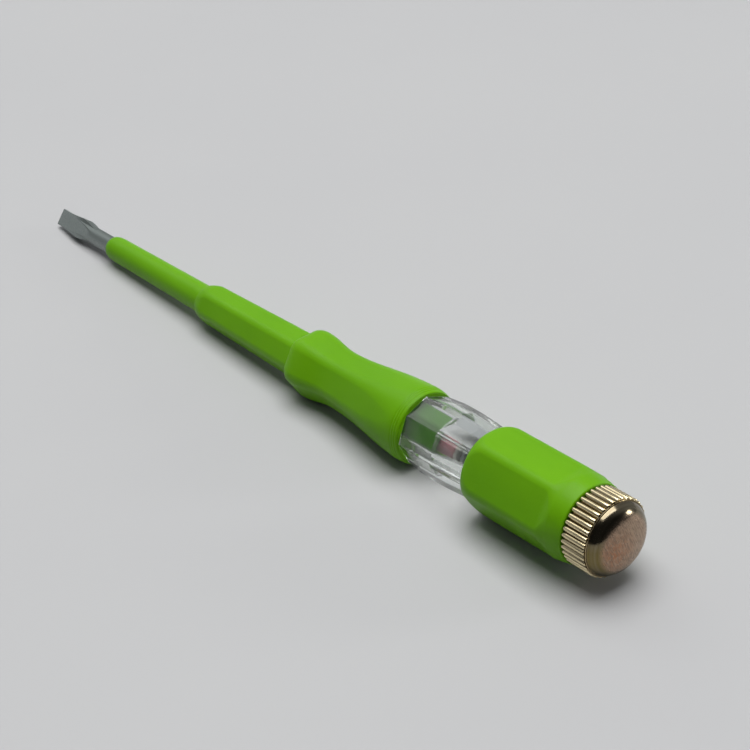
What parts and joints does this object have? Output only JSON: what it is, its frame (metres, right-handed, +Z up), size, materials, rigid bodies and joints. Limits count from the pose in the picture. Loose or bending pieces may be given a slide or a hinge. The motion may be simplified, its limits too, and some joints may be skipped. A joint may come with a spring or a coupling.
{
  "type": "voltage tester screwdriver",
  "caption": "Slotted voltage tester screwdriver with an insulated shank, faceted clear lamp window, hexagonal rear grip and knurled metal contact cap that unscrews.",
  "frame": {"origin": "on the surface that the tool lies on, below the middle of its length", "axes": "+X from the blade's tip to the end cap, +Z up, +Y across"},
  "size_m": [0.1406, 0.0134, 0.013],
  "materials": {
    "blade_steel": "ground and bead-blasted, satin",
    "green_plastic": "moulded, soft sheen",
    "clear_plastic": "moulded clear, polished",
    "cap_metal": "turned and knurled steel, copper and nickel plated, tarnished on its end",
    "spring_steel": "drawn wire",
    "contact_brass": "pressed",
    "lamp_glass": "drawn tube",
    "electrode_metal": "oxidised wire",
    "ceramic": "fired and lacquered"
  },
  "bodies": {
    "handle": {"blade": "blade_steel", "shaft_sleeve": "green_plastic", "front_grip": "green_plastic", "clear_barrel": "clear_plastic", "rear_grip": "green_plastic", "pressure_spring": "spring_steel", "lamp_glass": "lamp_glass", "lamp_contact_front": "contact_brass", "lamp_contact_rear": "contact_brass", "lamp_electrode_left": "electrode_metal", "lamp_electrode_right": "electrode_metal", "resistor_body": "ceramic", "resistor_cap_front": "contact_brass", "resistor_cap_rear": "contact_brass"},
    "button": {"contact_button": "contact_brass"},
    "cap": {"end_cap": "cap_metal"}
  },
  "joints": [
    {"name": "button_travel", "type": "slide", "parent": "handle", "child": "button", "axis": [1, 0, 0], "range_m": [0, 0.0051], "deforming": ["pressure_spring"]},
    {"name": "cap_turn", "type": "hinge", "parent": "button", "child": "cap", "pos_m": [0.0638, 0, 0.00648], "axis": [1, 0, 0], "range_deg": [0, 1800]}
  ],
  "couplings": [
    {"joint": "button_travel", "follows": "cap_turn", "m_per_rad": 0.00015915}
  ]
}
